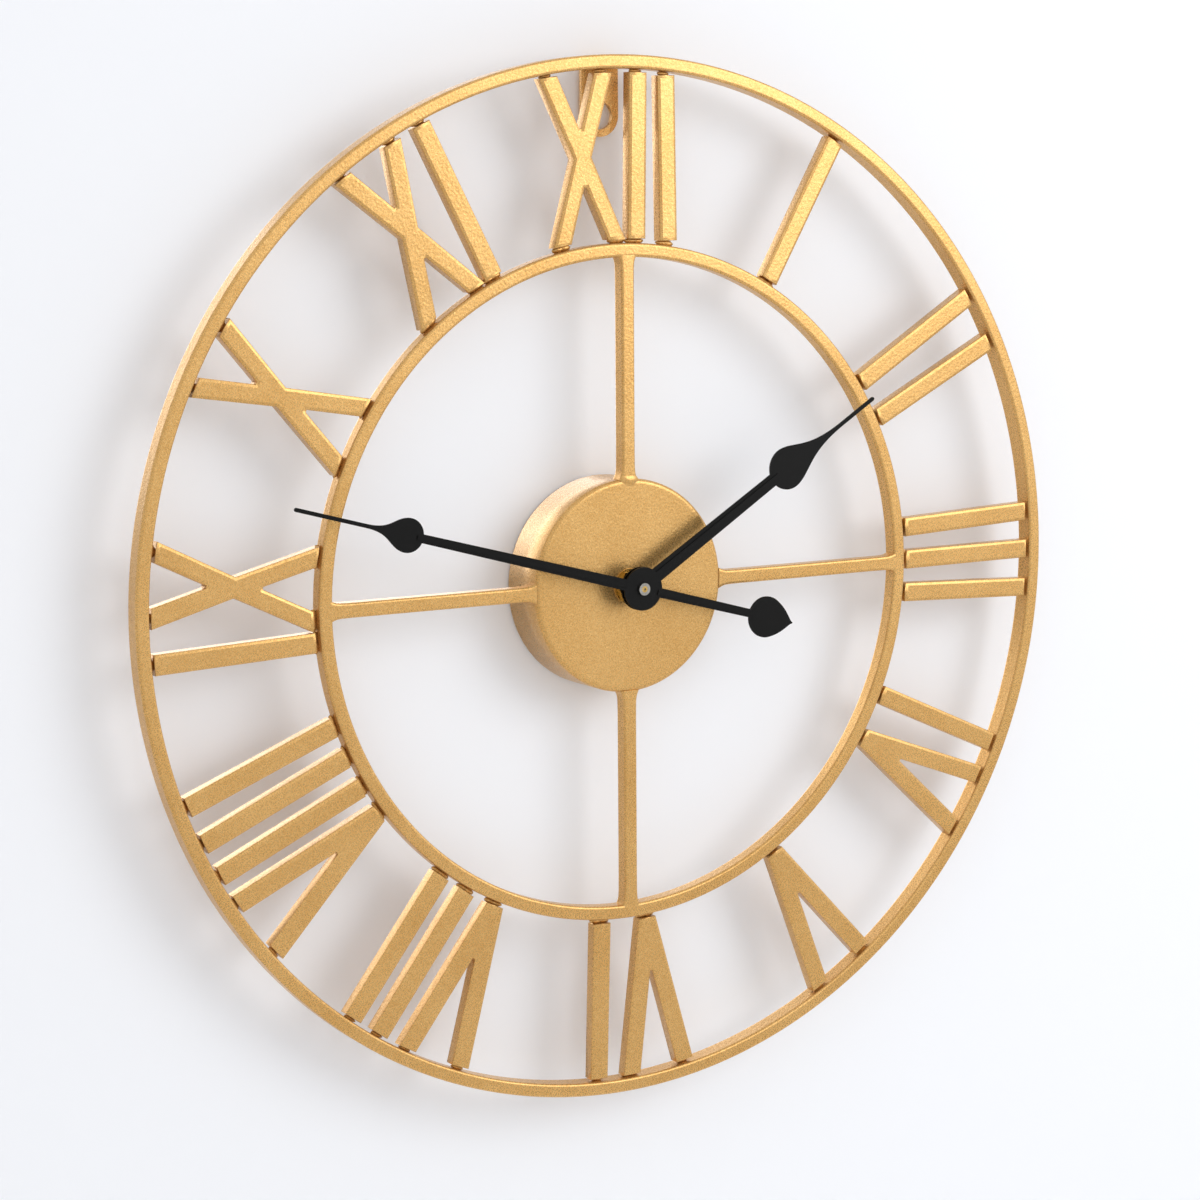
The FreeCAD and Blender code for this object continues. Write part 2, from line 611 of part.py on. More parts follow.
def make_wheels():
    """Going train: rotor, intermediate, second, third and centre wheels; then the motion work."""
    centre = (0.0, 0.0)
    third = (0.0, VALUE["third_gap"])
    mid_turn = math.radians(VALUE["mid_angle"])
    rotor_turn = math.radians(VALUE["rotor_angle"])
    middle = (VALUE["mid_gap"] * math.cos(mid_turn), VALUE["mid_gap"] * math.sin(mid_turn))
    rotor = (middle[0] + VALUE["rotor_gap"] * math.cos(rotor_turn),
             middle[1] + VALUE["rotor_gap"] * math.sin(rotor_turn))
    works = (-VALUE["works_gap"], 0.0)
    pivot_low = "(%s + 0.4)" % CASE_REAR
    pivot_high = "(%s - 0.4)" % PLATE_HIGH

    def level(low, high):
        return "(%s - %.2f)" % (CASE_IN, low), "(%s - %.2f)" % (CASE_IN, high)

    body = new_body("rotor_pinion", ROTOR_X, ROTOR_Z)
    rod(body, PIVOT_R, pivot_low, pivot_high)
    module = module_for("size.rotor_gap", 8, 48)
    low, high = level(10.7, 9.5)
    wheel_disc(body, 8, module, "0", low, high)
    teeth(body, 8, module, low, high, tooth_turn(rotor, middle, 8, False))
    magnet = new_body("rotor_magnet", ROTOR_X, ROTOR_Z)
    low, high = level(8.2, 5.2)
    tube(magnet, PIVOT_R, "size.magnet_dia / 2", low, high)

    body = new_body("intermediate_wheel", MID_X, MID_Z)
    rod(body, PIVOT_R, pivot_low, pivot_high)
    low, high = level(10.6, 9.6)
    wheel_disc(body, 48, module, "0", low, high)
    teeth(body, 48, module, low, high, tooth_turn(middle, rotor, 48, True))
    module = module_for("size.mid_gap", 8, 40)
    low, high = level(9.1, 7.9)
    wheel_disc(body, 8, module, "0", low, high)
    teeth(body, 8, module, low, high, tooth_turn(middle, centre, 8, False))

    body = new_body("second_wheel")
    rod(body, ARBOR_R, pivot_low, MINUTE_FRONT + " + size.hand_nut_thick / 2")
    low, high = level(9.0, 8.0)
    wheel_disc(body, 40, module, "0", low, high)
    teeth(body, 40, module, low, high, tooth_turn(centre, middle, 40, True))
    module = module_for("size.third_gap", 8, 64)
    low, high = level(7.4, 6.2)
    wheel_disc(body, 8, module, "0", low, high)
    teeth(body, 8, module, low, high, tooth_turn(centre, third, 8, False))

    body = new_body("third_wheel", "0", "size.third_gap")
    rod(body, PIVOT_R, pivot_low, pivot_high)
    low, high = level(7.3, 6.3)
    wheel_disc(body, 64, module, "0", low, high)
    teeth(body, 64, module, low, high, tooth_turn(third, centre, 64, True))
    module = module_for("size.third_gap", 8, 60)
    low, high = level(5.8, 4.5)
    wheel_disc(body, 8, module, "0", low, high)
    teeth(body, 8, module, low, high, tooth_turn(third, centre, 8, False))

    body = new_body("centre_wheel")
    low, high = level(5.7, 4.7)
    wheel_disc(body, 60, module, "size.minute_pipe / 2 + size.run_gap", low, high)
    teeth(body, 60, module, low, high, tooth_turn(centre, third, 60, True))

    body = new_body("minute_pipe")
    bore = "(size.arbor_dia / 2 + size.run_gap)"
    foot = "(%s - 5.8)" % CASE_IN
    turned(body, [(bore, foot), ("size.minute_pipe / 2", foot), ("size.minute_pipe / 2", MINUTE_BACK),
                  ("size.minute_end / 2", MINUTE_BACK),
                  ("size.minute_end / 2", MINUTE_FRONT + " + size.hand_nut_thick"),
                  (bore, MINUTE_FRONT + " + size.hand_nut_thick")])
    module = module_for("size.works_gap", 12, 36)
    low, high = level(2.9, 1.7)
    wheel_disc(body, 12, module, "size.minute_pipe / 2 - 0.2", low, high)
    teeth(body, 12, module, low, high, tooth_turn(centre, works, 12, False))

    body = new_body("minute_works_wheel", WORKS_X)
    tip = "(%s + size.case_wall - 0.6)" % CASE_IN
    knob_low = "(%s - size.knob_proud)" % CASE_REAR
    shoulder = "(%s - 0.3)" % CASE_IN
    turned(body, [("0", knob_low), (WORKS_R, knob_low), (WORKS_R, shoulder), ("size.knob_pin / 2", shoulder),
                  ("size.knob_pin / 2", tip), ("0", tip)])
    low, high = level(2.8, 1.8)
    wheel_disc(body, 36, module, "0", low, high)
    teeth(body, 36, module, low, high, tooth_turn(works, centre, 36, True))
    module = module_for("size.works_gap", 12, 48)
    low, high = level(1.5, 0.3)
    wheel_disc(body, 12, module, "0", low, high)
    teeth(body, 12, module, low, high, tooth_turn(works, centre, 12, False))

    knob = new_body("setting_knob", WORKS_X)
    tube(knob, WORKS_R, "size.knob_dia / 2", knob_low, "(%s - 0.4)" % CASE_REAR)
    grip = sketch_on(knob, "XZ_Plane", knob_low)
    circle(grip, "0.35", "size.knob_dia / 2 + 0.1")
    notch = pocket(knob, grip, "size.knob_proud", forward=True)
    ring = knob.newObject("PartDesign::PolarPattern", "knob_grip")
    ring.Originals = [notch]
    ring.Axis = (next(item for item in knob.Origin.OriginFeatures if item.Role == "Y_Axis"), [""])
    ring.Angle = 360
    ring.Occurrences = 24
    knob.Tip = ring

    body = new_body("hour_wheel")
    low, high = level(1.4, 0.4)
    bore = "(size.minute_pipe / 2 + size.run_gap)"
    tube(body, bore, "size.hour_pipe / 2", low, HOUR_BACK + " + size.hand_thick")
    wheel_disc(body, 48, module, bore, low, high)
    teeth(body, 48, module, low, high, tooth_turn(centre, works, 48, True))


# ---------------------------------------------------------------- electrics
def make_cell():
    """An AA cell lying across the foot of the case, its nub to the right."""
    lift = "(%s - 0.1 - size.cell_dia / 2)" % CASE_IN
    body = new_body("battery_cell", "0", "-size.cell_drop")
    body.setExpression("Placement.Base.y", "-" + lift)
    sketch = sketch_on(body, "XY_Plane")
    end = "size.cell_long / 2"
    radius = "size.cell_dia / 2"
    polygon(sketch, [("-" + end, "0"), ("-" + end, radius), (end + " - 1.2", radius), (end + " - 1.2", "2.7"),
                     (end, "2.7"), (end, "0")])
    feature = body.newObject("PartDesign::Revolution", "cell_turned")
    feature.Profile = sketch
    feature.ReferenceAxis = (sketch, ["H_Axis"])
    feature.Angle = 360
    document.recompute()

    for name, sign in (("plus_contact", ""), ("minus_contact", "-")):
        contact = new_body(name, "0", "-size.cell_drop")
        contact.setExpression("Placement.Base.y", "-" + lift)
        outer = "%s(size.case_side / 2 - size.case_wall)" % sign
        outer_in = "%s(size.case_side / 2 - size.case_wall - 0.3)" % sign
        inner = "%s(size.cell_long / 2)" % sign
        inner_out = "%s(size.cell_long / 2 + 0.3)" % sign
        strip = sketch_on(contact, "XY_Plane")
        polygon(strip, [(inner, "3"), (inner_out, "3"), (inner_out, "-4.7"), (outer_in, "-4.7"),
                        (outer_in, "3"), (outer, "3"), (outer, "-5"), (inner, "-5")])
        pad(contact, strip, "9", midplane=True)


def make_electrics():
    """Circuit board with its quartz crystal and chip, coil on its bobbin, and the stator."""
    board = new_body("circuit_board")
    sketch = sketch_on(board, "XZ_Plane", CASE_BACK_IN)
    inside = "(size.case_side / 2 - size.case_wall)"
    rectangle(sketch, "-" + inside, "size.board_low", "-size.board_right", inside)
    pad(board, sketch, "size.board_thick")
    board_top = CASE_BACK_IN + " + size.board_thick"
    chip = new_body("chip_cover", "-size.parts_x", "size.chip_z")
    turned(chip, [("0", board_top), ("size.chip_dia / 2", board_top),
                  ("0.37 * size.chip_dia", board_top + " + 0.8 * size.chip_high"),
                  ("0", board_top + " + size.chip_high")])
    crystal = new_body("quartz_crystal", "-size.parts_x", "size.crystal_z")
    crystal.setExpression("Placement.Base.y", "-(%s + size.crystal_dia / 2)" % board_top)
    profile = sketch_on(crystal, "XY_Plane")
    can_end = "size.crystal_long / 2"
    can_top = "size.crystal_dia / 2"
    polygon(profile, [("-" + can_end, "0"), ("-" + can_end, can_top), (can_end, can_top), (can_end, "0")])
    can = crystal.newObject("PartDesign::Revolution", "crystal_turned")
    can.Profile = profile
    can.ReferenceAxis = (profile, ["H_Axis"])
    can.Angle = 360
    document.recompute()

    arm_low = "-size.coil_low"
    arm_high = "size.coil_high"
    foot = arm_low + " - size.stator_arm"
    head = arm_high + " + size.stator_arm"
    stator = new_body("stator")
    plate = sketch_on(stator, "XZ_Plane", "%s - size.stator_thick / 2" % ROTOR_LIFT)
    left = "(%s - size.stator_reach)" % ROTOR_X
    right = "(%s + size.stator_reach)" % ROTOR_X
    polygon(plate, [(left, foot), (inside, foot), (inside, arm_low), (right, arm_low),
                    (right, arm_high), (inside, arm_high), (inside, head), (left, head)])
    circle(plate, "size.magnet_dia / 2 + size.pole_gap", ROTOR_X, ROTOR_Z)
    pad(stator, plate, "size.stator_thick")

    core = "size.core_dia / 2"
    flange = "size.flange_dia / 2"
    wire = "size.coil_dia / 2"
    wire_low = arm_low + " + size.flange_thick"
    wire_high = arm_high + " - size.flange_thick"
    for name, outline in (
            ("coil_bobbin", [("0", arm_low), (flange, arm_low), (flange, wire_low), (core, wire_low),
                             (core, wire_high), (flange, wire_high), (flange, arm_high), ("0", arm_high)]),
            ("coil_winding", [(core, wire_low), (wire, wire_low), (wire, wire_high), (core, wire_high)])):
        body = new_body(name, "size.coil_x")
        body.setExpression("Placement.Base.y", "-" + ROTOR_LIFT)
        profile = sketch_on(body, "XZ_Plane")
        polygon(profile, outline)
        feature = body.newObject("PartDesign::Revolution", name + "_turned")
        feature.Profile = profile
        feature.ReferenceAxis = (profile, ["V_Axis"])
        feature.Angle = 360
        document.recompute()


# ---------------------------------------------------------------- hands
def flat_face(wire_edges):
    return Part.Face(Part.Wire(wire_edges))


def disc(radius, height=0.0):
    return flat_face([Part.Circle(V(0, 0, height), V(0, -1, 0), radius).toShape()])


def strip(low, low_wide, high, high_wide):
    """A tapering strip along +Z, symmetric about the Z axis."""
    corners = [V(-low_wide / 2, 0, low), V(low_wide / 2, 0, low), V(high_wide / 2, 0, high),
               V(-high_wide / 2, 0, high), V(-low_wide / 2, 0, low)]
    return Part.Face(Part.makePolygon(corners))


def leaf(centre, radius, point, tip_wide, shoulder, reach):
    """A round leaf that draws in to a point: one arc and two Bezier sides.

    The sides leave the circle along its tangent, shoulder degrees above its middle, and run in
    to the point parallel with the hand; reach is the length of the last handle.
    """
    turn = math.radians(shoulder)
    side = V(radius * math.cos(turn), 0, centre + radius * math.sin(turn))
    tangent = V(-math.sin(turn), 0, math.cos(turn))
    handle = side + tangent * radius * 0.9
    end = V(tip_wide / 2, 0, point)
    before = V(tip_wide / 2, 0, point - reach)

    def mirrored(point_at):
        return V(-point_at.x, 0, point_at.z)

    right = Part.BezierCurve()
    right.setPoles([side, handle, before, end])
    left = Part.BezierCurve()
    left.setPoles([mirrored(end), mirrored(before), mirrored(handle), mirrored(side)])
    bottom = Part.Arc(mirrored(side), V(0, 0, centre - radius), side)
    top = Part.LineSegment(end, mirrored(end))
    return flat_face([right.toShape(), top.toShape(), left.toShape(), bottom.toShape()])


def raised(face, low, high):
    """The face, drawn in the plane Y = 0, pushed out between two lifts."""
    lifted = face.copy()
    lifted.translate(V(0, -low, 0))
    return lifted.extrude(V(0, -(high - low), 0))


def make_hand(name, faces, ribs, bore, back, angle):
    """Blanked from sheet, ribbed along its shaft, bored for its pipe, turned to its rest angle."""
    thick = VALUE["hand_thick"]
    blank = raised(faces[0], back, back + thick).fuse([raised(face, back, back + thick) for face in faces[1:]])
    pressed = blank.fuse([raised(face, back + thick - 0.2, back + thick + VALUE["rib_proud"]) for face in ribs])
    hole = raised(disc(bore), back - 1, back + thick + 5)
    hand = document.addObject("Part::Feature", name)
    hand.Label = name
    hand.Shape = pressed.removeSplitter().cut(hole)
    drop = VALUE["dial_dia"] / 2 - VALUE["hang_below"]
    hand.Placement = FreeCAD.Placement(V(0, 0, -drop), FreeCAD.Rotation(V(0, 1, 0), angle))
    nodes.append(hand)


def make_hands():
    """Spade hands; the minute hand has a counterweight behind the hub."""
    tip = VALUE["tip_wide"]
    hub = VALUE["hub_dia"] / 2
    hour_leaf = VALUE["hour_leaf"]
    hour_round = VALUE["hour_leaf_dia"] / 2
    hour_point = hour_leaf + VALUE["hour_leaf_long"]
    hour_shaft = VALUE["hour_shaft"]
    back = VALUE["front_lift"] + VALUE["hour_lift"]
    faces = [disc(hub), strip(0, hour_shaft, hour_leaf, hour_shaft * 0.82),
             leaf(hour_leaf, hour_round, hour_point, tip, 12, VALUE["hour_leaf_long"] * 0.6),
             strip(hour_point - 1, tip, VALUE["hour_tip"] - tip / 2, tip), disc(tip / 2, VALUE["hour_tip"] - tip / 2)]
    ribs = [strip(hub * 0.8, hour_shaft * 0.45, hour_leaf - hour_round * 0.6, hour_shaft * 0.36)]
    make_hand("hour_hand", faces, ribs, VALUE["hour_pipe"] / 2, back, HOUR_HAND_AT)

    minute_leaf = VALUE["minute_leaf"]
    minute_round = VALUE["minute_leaf_dia"] / 2
    minute_point = minute_leaf + VALUE["minute_leaf_long"]
    shaft = VALUE["minute_shaft"]
    tail = VALUE["tail_leaf"]
    tail_round = VALUE["tail_leaf_dia"] / 2
    back += VALUE["hand_space"]
    point = leaf(tail, tail_round, VALUE["tail_tip"], 0.8, 24, 2.0)
    point.rotate(V(), V(0, 1, 0), 180)
    tail_shaft = strip(-tail, shaft * 0.72, 0, shaft * 0.85)
    faces = [disc(hub), strip(0, shaft, minute_leaf, shaft * 0.72),
             leaf(minute_leaf, minute_round, minute_point, tip, 12, VALUE["minute_leaf_long"] * 0.6),
             strip(minute_point - 1, tip, VALUE["minute_tip"] - tip / 2, tip),
             disc(tip / 2, VALUE["minute_tip"] - tip / 2), tail_shaft, point]
    ribs = [strip(hub * 0.8, shaft * 0.45, minute_leaf - minute_round * 0.6, shaft * 0.36),
            strip(-tail + tail_round * 0.6, shaft * 0.36, -hub * 0.8, shaft * 0.42)]
    make_hand("minute_hand", faces, ribs, VALUE["minute_end"] / 2, back, MINUTE_HAND_AT)

    nut = new_body("hand_nut")
    nut_front = MINUTE_FRONT + " + size.hand_nut_thick"
    tube(nut, "size.minute_end / 2", "size.hand_nut_dia / 2", MINUTE_FRONT, nut_front)


# ---------------------------------------------------------------- build, check and write
def check(thing):
    """Refuse a failed object or a shape that is null or not valid."""
    if "Invalid" in thing.State or "Error" in thing.State:
        raise RuntimeError("failed: " + thing.Label)


make_sheet()
make_ring("outer_ring", RING_R, RING_BORE, "size.ring_deep")
make_ring("inner_ring", INNER_R, INNER_BORE, "size.inner_deep")
make_spokes()
make_hanger()
pressed_letters = {"I": make_stroke("I", outline_i()), "V": make_stroke("V", outline_v()),
                   "X": make_stroke("X", outline_x())}
all_numerals = make_numerals(pressed_letters)
stroke_top = VALUE["dial_dia"] / 2 - VALUE["ring_face"] - VALUE["outer_gap"]
stroke_foot = VALUE["inner_dia"] / 2 + VALUE["inner_gap"]
make_tacks("outer_tacks", STROKE_TOP + " - 0.45", RING_BORE, stroke_top, True, all_numerals)
make_tacks("inner_tacks", INNER_R, STROKE_FOOT + " + 0.45", stroke_foot, False, all_numerals)
make_drum()
make_case()
make_middle_plate()
make_bush_stack()
make_wheels()
make_cell()
make_electrics()
make_hands()
document.recompute()

for item in document.Objects:
    check(item)
os.makedirs("parts", exist_ok=True)
for node in nodes:
    if node.Shape.isNull() or not node.Shape.isValid():
        raise RuntimeError("bad shape: " + node.Label)
    node.Shape.exportStep("parts/%s.step" % node.Label)
print(len(nodes), "sub-parts written")
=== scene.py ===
"""An open-frame wall clock of powder-coated steel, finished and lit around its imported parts."""

import math

import bmesh
import bpy
import numpy as np
from mathutils import Matrix, Vector


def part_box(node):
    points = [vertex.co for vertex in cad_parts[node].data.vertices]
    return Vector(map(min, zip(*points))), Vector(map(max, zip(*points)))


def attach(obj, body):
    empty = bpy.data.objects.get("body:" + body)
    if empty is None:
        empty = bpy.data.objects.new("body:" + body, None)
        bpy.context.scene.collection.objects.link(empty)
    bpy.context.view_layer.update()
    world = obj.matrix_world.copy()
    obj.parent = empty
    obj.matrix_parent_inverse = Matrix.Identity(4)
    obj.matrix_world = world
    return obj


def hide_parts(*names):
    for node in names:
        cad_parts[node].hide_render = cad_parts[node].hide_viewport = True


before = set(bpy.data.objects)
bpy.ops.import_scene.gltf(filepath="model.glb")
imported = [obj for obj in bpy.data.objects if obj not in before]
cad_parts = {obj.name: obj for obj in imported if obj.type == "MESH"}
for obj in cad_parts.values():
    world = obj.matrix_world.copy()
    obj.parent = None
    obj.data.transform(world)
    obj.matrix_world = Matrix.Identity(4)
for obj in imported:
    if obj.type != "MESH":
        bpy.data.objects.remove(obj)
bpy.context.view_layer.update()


# ---------------------------------------------------------------------------
# The place: a matt white wall that the clock hangs on, with a pale floor below.
# The wall lets light and sight through from behind, so that the clock's back
# can be seen; soft boxes stand in front, and two small ones behind the wall.
# ---------------------------------------------------------------------------
mm = 0.001
scene = bpy.context.scene
scene.view_settings.view_transform = "Standard"

dial_z = -222.5 * mm
front_y = -27.2 * mm


def linear(hex_colour):
    """sRGB hex to linear RGBA: c/12.92 below 0.04045, else ((c + 0.055)/1.055)^2.4."""
    c = np.array([int(hex_colour[i : i + 2], 16) for i in (1, 3, 5)]) / 255
    return (*np.where(c < 0.04045, c / 12.92, ((c + 0.055) / 1.055) ** 2.4), 1.0)


def node(tree, kind, values=None, **settings):
    """Add a node. settings are its own properties; values go to its inputs, and a socket is linked."""
    made = tree.nodes.new(kind)
    for key, value in settings.items():
        setattr(made, key, value)
    for key, value in (values or {}).items():
        if isinstance(value, bpy.types.NodeSocket):
            tree.links.new(value, made.inputs[key])
        else:
            made.inputs[key].default_value = value
    return made


def new_material(name):
    """An empty node material, its tree, and its output node."""
    made = bpy.data.materials.new(name)
    made.use_nodes = True
    made.node_tree.nodes.clear()
    return made, made.node_tree, node(made.node_tree, "ShaderNodeOutputMaterial")


def mesh_object(name, verts, faces, smooth=True):
    """One object at the origin from an array of points and a list of faces."""
    mesh = bpy.data.meshes.new(name)
    mesh.from_pydata(np.asarray(verts).tolist(), [], [list(map(int, f)) for f in faces])
    mesh.polygons.foreach_set("use_smooth", np.full(len(mesh.polygons), smooth))
    mesh.update()
    made = bpy.data.objects.new(name, mesh)
    scene.collection.objects.link(made)
    return made


# Emulsion paint on plaster: matt, off-white, with the faint dimples of a roller, 2 mm across.
wall_paint, tree, out = new_material("matt_emulsion_on_plaster")
place = node(tree, "ShaderNodeTexCoord").outputs["Object"]
roller = node(tree, "ShaderNodeTexNoise", {"Vector": place, "Scale": 1 / (2.0 * mm), "Detail": 2.0})
dimple = node(tree, "ShaderNodeBump", {"Height": roller.outputs[0], "Strength": 0.05, "Distance": 0.1 * mm})
paint = node(tree, "ShaderNodeBsdfPrincipled", {
    "Base Color": linear("#F2F4F9"), "Roughness": 0.9, "Normal": dimple.outputs[0],
})
clear = node(tree, "ShaderNodeBsdfTransparent")
side = node(tree, "ShaderNodeNewGeometry").outputs["Backfacing"]
both = node(tree, "ShaderNodeMixShader", {0: side, 1: paint.outputs[0], 2: clear.outputs[0]})
tree.links.new(both.outputs[0], out.inputs["Surface"])

wall_y = 1.2 * mm
floor_z = -1.3
wall_top = 3.0
room = 4.0
wall = mesh_object(
    "wall",
    [(-room, wall_y, floor_z), (room, wall_y, floor_z), (room, wall_y, wall_top), (-room, wall_y, wall_top)],
    [(0, 1, 2, 3)],
    smooth=False,
)
wall.data.materials.append(wall_paint)

# Pale floor: matt screed with a slow cloud of tone, half a metre across.
floor_finish, tree, out = new_material("pale_screed")
place = node(tree, "ShaderNodeTexCoord").outputs["Object"]
cloud = node(tree, "ShaderNodeTexNoise", {"Vector": place, "Scale": 2.0, "Detail": 4.0})
tone = node(tree, "ShaderNodeMix", {
    0: cloud.outputs[0], 6: linear("#E9E8E6"), 7: linear("#EFEEEC"),
}, data_type="RGBA")
screed = node(tree, "ShaderNodeBsdfPrincipled", {"Base Color": tone.outputs[2], "Roughness": 0.8})
tree.links.new(screed.outputs[0], out.inputs["Surface"])
floor = mesh_object(
    "floor",
    [(-room, -5, floor_z), (room, -5, floor_z), (room, 3, floor_z), (-room, 3, floor_z)],
    [(0, 1, 2, 3)],
    smooth=False,
)
floor.data.materials.append(floor_finish)

# The viewpoint, from the left and a little above. The clock hangs 0.92 degrees round on its hook,
# so the viewpoint is turned by as much. The aim and the distance are in dial radii.
azimuth, elevation, roll, hang = np.radians([-30.53, 7.716, 0.391, 0.92])
dial_radius = 0.25
aim = np.array([-0.0664, 0.0, -0.0228])
distance = 5.347
back = np.array([
    math.sin(azimuth) * math.cos(elevation),
    -math.cos(azimuth) * math.cos(elevation),
    math.sin(elevation),
])
right = np.cross([0, 0, 1], back)
right /= np.linalg.norm(right)
up = np.cross(back, right)
axes = np.array([
    right * math.cos(roll) + up * math.sin(roll),
    up * math.cos(roll) - right * math.sin(roll),
    back,
])
swing = np.array([
    [math.cos(hang), 0, math.sin(hang)],
    [0, 1, 0],
    [-math.sin(hang), 0, math.cos(hang)],
])
eye = swing @ (aim + back * distance) * dial_radius + np.array([0, front_y, dial_z])
axes = axes @ swing.T
lens = bpy.data.cameras.new("camera")
lens.lens = 84.36
lens.sensor_width = 36.0
camera = bpy.data.objects.new("camera", lens)
camera.matrix_world = Matrix([[*axes[:, i], eye[i]] for i in range(3)] + [[0, 0, 0, 1]])
scene.collection.objects.link(camera)
scene.camera = camera

# White studio walls all round, brightest towards the upper right and dimmer to the left.
world = bpy.data.worlds.new("studio")
world.use_nodes = True
tree = world.node_tree
tree.nodes.clear()
outward = node(tree, "ShaderNodeTexCoord").outputs["Generated"]
brightest = (0.75, -0.25, 0.6)
lean = node(tree, "ShaderNodeVectorMath", {0: outward, 1: brightest}, operation="DOT_PRODUCT")
bright = node(tree, "ShaderNodeMapRange", {
    "Value": lean.outputs["Value"], "From Min": -0.8, "From Max": 0.9, "To Min": 0.7, "To Max": 0.98,
})
air = node(tree, "ShaderNodeBackground", {"Color": (1.0, 1.0, 1.0, 1.0), "Strength": bright.outputs[0]})
node(tree, "ShaderNodeOutputWorld", {"Surface": air.outputs[0]})
scene.world = world


def soft_box(name, at, target, size, watts):
    """A round area lamp at one point, turned to face another."""
    lamp = bpy.data.lights.new(name, "AREA")
    lamp.shape, lamp.size, lamp.energy = "DISK", size, watts
    made = bpy.data.objects.new(name, lamp)
    made.location = at
    made.rotation_euler = (Vector(target) - Vector(at)).to_track_quat("-Z", "Y").to_euler()
    scene.collection.objects.link(made)
    return made


hub = (0.0, front_y, dial_z)
soft_box("key", (1.0, -1.3, 0.35), hub, 1.1, 8.5)
soft_box("fill", (-1.9, -1.2, 1.3), hub, 1.6, 1.5)

# The lamps behind shine through the wall: it neither receives their light nor blocks it.
behind = bpy.data.collections.new("not_lit_from_behind")
behind.objects.link(wall)
for name, at in (("back_left", (-0.35, 1.6, 0.2)), ("back_right", (0.35, 1.6, 0.1))):
    lamp = soft_box(name, at, (0, 0, dial_z), 0.9, 4)
    lamp.light_linking.receiver_collection = behind
    lamp.light_linking.blocker_collection = behind
for link in behind.collection_objects:
    link.light_linking.link_state = "EXCLUDE"


# ---------------------------------------------------------------------------
# The two rings: flat mild-steel bar rolled into hoops, butt welded and ground.
# Like the rest of the frame they are sprayed with one metallic gold powder
# coat and stoved, which rounds every edge a little.
# ---------------------------------------------------------------------------
ring_round = 1.2 * mm
ring_steps = 360
outer_ring = {"outside": 250.0 * mm, "face": 6.5 * mm, "deep": 10.0 * mm}
inner_ring = {"outside": 162.75 * mm, "face": 6.6 * mm, "deep": 8.0 * mm}

# Metallic polyester powder coat: a warm gold binder full of aluminium flake. The eye gets a
# satin metal with a soft orange peel, 1.3 mm from crest to crest, and a fine grain of flake.
# The flake is drawn 0.4 mm across, a few times its real size, so that it shows.
gold_coat, tree, out = new_material("gold_metallic_powder_coat")
place = node(tree, "ShaderNodeTexCoord").outputs["Object"]
peel = node(tree, "ShaderNodeTexNoise", {
    "Vector": place, "Scale": 1 / (1.3 * mm), "Detail": 1.5, "Roughness": 0.5,
})
flake = node(tree, "ShaderNodeTexVoronoi", {"Vector": place, "Scale": 1 / (0.4 * mm), "Randomness": 1.0})
flake_tone = node(tree, "ShaderNodeSeparateColor", {0: flake.outputs["Color"]})
thickness = node(tree, "ShaderNodeTexNoise", {"Vector": place, "Scale": 30.0, "Detail": 3.0})
shade = node(tree, "ShaderNodeMath", {0: flake_tone.outputs[0], 1: 0.55}, operation="MULTIPLY")
shade = node(tree, "ShaderNodeMath", {
    0: thickness.outputs[0], 1: 0.45, 2: shade.outputs[0],
}, operation="MULTIPLY_ADD")
gold = node(tree, "ShaderNodeMix", {
    0: shade.outputs[0], 6: linear("#B98740"), 7: linear("#E6BC7A"),
}, data_type="RGBA")
satin = node(tree, "ShaderNodeMapRange", {"Value": flake_tone.outputs[1], "To Min": 0.24, "To Max": 0.38})
grain = node(tree, "ShaderNodeBump", {"Height": peel.outputs[0], "Strength": 1.0, "Distance": 0.1 * mm})
coat = node(tree, "ShaderNodeBsdfPrincipled", {
    "Base Color": gold.outputs[2], "Metallic": 0.72, "Roughness": satin.outputs[0],
    "Normal": grain.outputs[0], "Coat Weight": 0.12, "Coat Roughness": 0.3,
})
tree.links.new(coat.outputs[0], out.inputs["Surface"])


def finish_piece(piece, *stands_for):
    """Give a piece of the frame the gold coat, and hide the plain part it stands for."""
    piece.data.materials.append(gold_coat)
    if stands_for:
        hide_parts(*stands_for)
    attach(piece, "frame")


def rounded_outline(low_u, low_v, high_u, high_v, radius, steps=5):
    """Anticlockwise outline of a rectangle whose corners are quarter circles of the given radius:
    centre + radius * (cos a, sin a). A point a third of the radius past both ends of each quarter,
    along its tangent (-sin a, cos a), keeps the flats flat in shading."""
    quarter = np.linspace(0, np.pi / 2, steps)
    quarter = np.concatenate([quarter[:1], quarter, quarter[-1:]])
    past = np.concatenate([[-radius / 3], np.zeros(steps), [radius / 3]])
    centres = [
        (high_u - radius, high_v - radius),
        (low_u + radius, high_v - radius),
        (low_u + radius, low_v + radius),
        (high_u - radius, low_v + radius),
    ]
    outline = []
    for turn, (u, v) in enumerate(centres):
        a = quarter + turn * np.pi / 2
        outline.append(np.stack([
            u + radius * np.cos(a) - past * np.sin(a),
            v + radius * np.sin(a) + past * np.cos(a),
        ], 1))
    return np.concatenate(outline)


def grid_faces(rows, columns, close_rows, close_columns):
    """Quads between neighbours on a grid of points, wrapped round in either direction."""
    i, j = np.meshgrid(
        np.arange(rows - (not close_rows)), np.arange(columns - (not close_columns)), indexing="ij"
    )
    i, j = i.ravel(), j.ravel()
    a, b = (i + 1) % rows, (j + 1) % columns
    return np.stack([i * columns + j, i * columns + b, a * columns + b, a * columns + j], 1)


